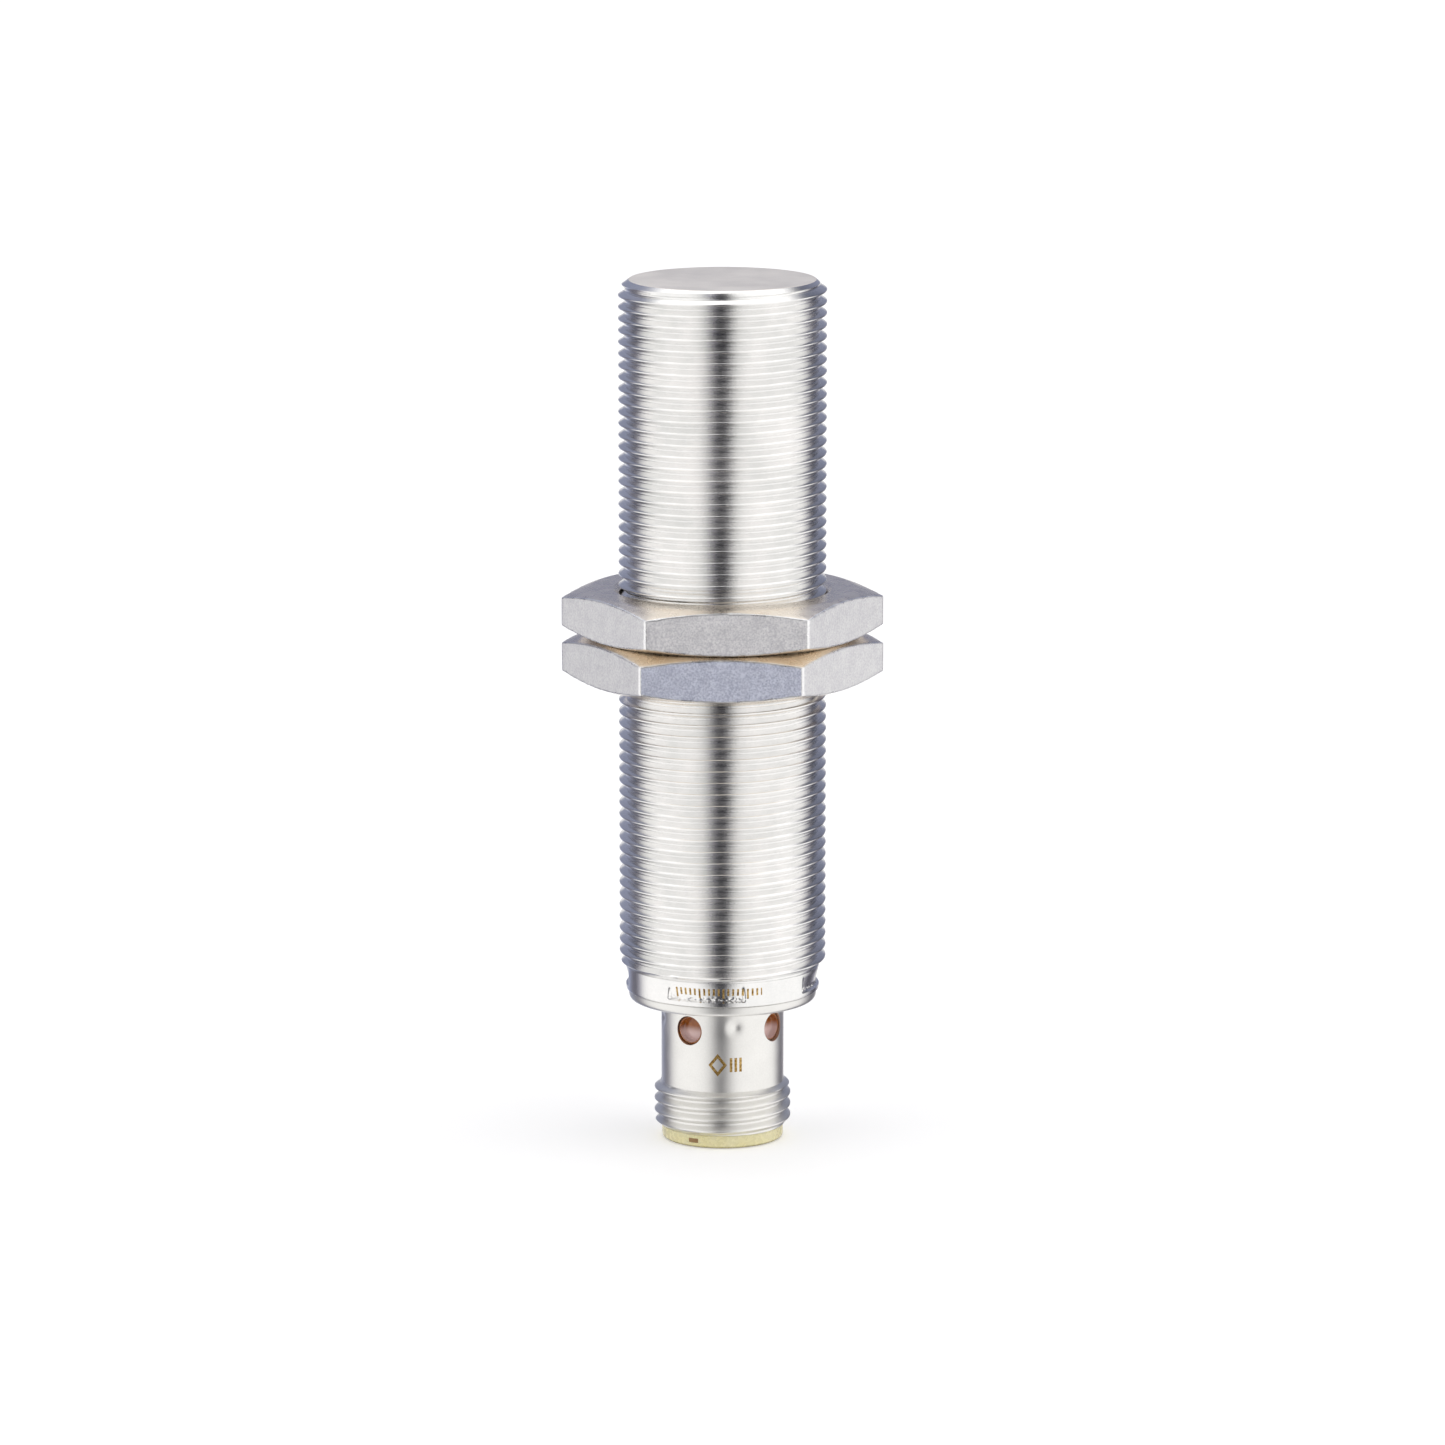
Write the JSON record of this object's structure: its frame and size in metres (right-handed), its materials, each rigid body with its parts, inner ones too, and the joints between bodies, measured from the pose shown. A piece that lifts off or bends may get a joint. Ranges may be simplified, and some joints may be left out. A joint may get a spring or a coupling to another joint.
{
  "type": "inductive proximity sensor",
  "caption": "Cylindrical all-metal proximity sensor: threaded barrel with flat sensing face, hexagon lock nuts, and a screw-on plug end with round indicator windows.",
  "frame": {"origin": "centre of the plug insert's lower end, on the barrel axis", "axes": "+Z along the barrel towards the sensing face, -Y the side with the front windows"},
  "size_m": [0.0278, 0.0244, 0.075],
  "materials": {
    "barrel_steel": "turned stainless steel, thread cut, satin",
    "nut_steel": "satin stainless steel, tumbled",
    "plug_steel": "finely turned stainless steel",
    "carrier_plastic": "moulded translucent pale yellow-green plastic",
    "amber_plastic": "moulded translucent amber plastic",
    "contact_gold": "gold plated brass",
    "led_resin": "clear yellowish resin",
    "board_laminate": "green glass-epoxy laminate",
    "chip_epoxy": "black moulded epoxy",
    "capacitor_case": "moulded ochre epoxy",
    "resistor_ceramic": "black coated ceramic chip",
    "ferrite": "pressed and sintered ferrite, matt dark grey",
    "copper_wire": "enamelled copper wire",
    "former_plastic": "moulded off-white plastic",
    "casting_resin": "dark cast resin",
    "seal_rubber": "black nitrile rubber",
    "lead_insulation": "red plastic insulated wire"
  },
  "bodies": {
    "sensor": {"capacitor_1": "capacitor_case", "capacitor_2": "capacitor_case", "circuit_board": "board_laminate", "coil_bobbin": "former_plastic", "coil_cup": "former_plastic", "coil_lead_1": "copper_wire", "coil_lead_2": "copper_wire", "coil_winding": "copper_wire", "connector_shell": "plug_steel", "contact_carrier": "carrier_plastic", "contact_pin_1": "contact_gold", "contact_pin_2": "contact_gold", "contact_pin_3": "contact_gold", "contact_pin_4": "contact_gold", "controller_chip": "chip_epoxy", "face_insulator": "former_plastic", "ferrite_core": "ferrite", "housing": "barrel_steel", "led_1": "led_resin", "led_2": "led_resin", "led_3": "led_resin", "led_4": "led_resin", "led_board": "board_laminate", "light_ring": "amber_plastic", "output_transistor": "chip_epoxy", "pin_lead_1": "lead_insulation", "pin_lead_2": "lead_insulation", "pin_lead_3": "lead_insulation", "pin_lead_4": "lead_insulation", "potting": "casting_resin", "resistor_1": "resistor_ceramic", "resistor_2": "resistor_ceramic", "resistor_3": "resistor_ceramic", "resistor_4": "resistor_ceramic", "spigot_seal": "seal_rubber"},
    "upper_nut_carriage": {"upper_nut_ring": "nut_steel"},
    "upper_nut": {"upper_nut": "nut_steel"},
    "lower_nut_carriage": {"lower_nut_ring": "nut_steel"},
    "lower_nut": {"lower_nut": "nut_steel"}
  },
  "joints": [
    {"name": "upper_nut_travel", "type": "slide", "parent": "sensor", "child": "upper_nut_carriage", "axis": [0, 0, 1], "range_m": [0, 0.026]},
    {"name": "upper_nut_turn", "type": "hinge", "parent": "upper_nut_carriage", "child": "upper_nut", "pos_m": [0, 0, 0.0463], "axis": [0, 0, 1], "range_deg": [0, 9360]},
    {"name": "lower_nut_travel", "type": "slide", "parent": "sensor", "child": "lower_nut_carriage", "axis": [0, 0, -1], "range_m": [0, 0.024]},
    {"name": "lower_nut_turn", "type": "hinge", "parent": "lower_nut_carriage", "child": "lower_nut", "pos_m": [0, 0, 0.0423], "axis": [0, 0, -1], "range_deg": [0, 8640]}
  ],
  "couplings": [
    {"joint": "upper_nut_travel", "follows": "upper_nut_turn", "m_per_rad": 0.00015915},
    {"joint": "lower_nut_travel", "follows": "lower_nut_turn", "m_per_rad": 0.00015915}
  ]
}
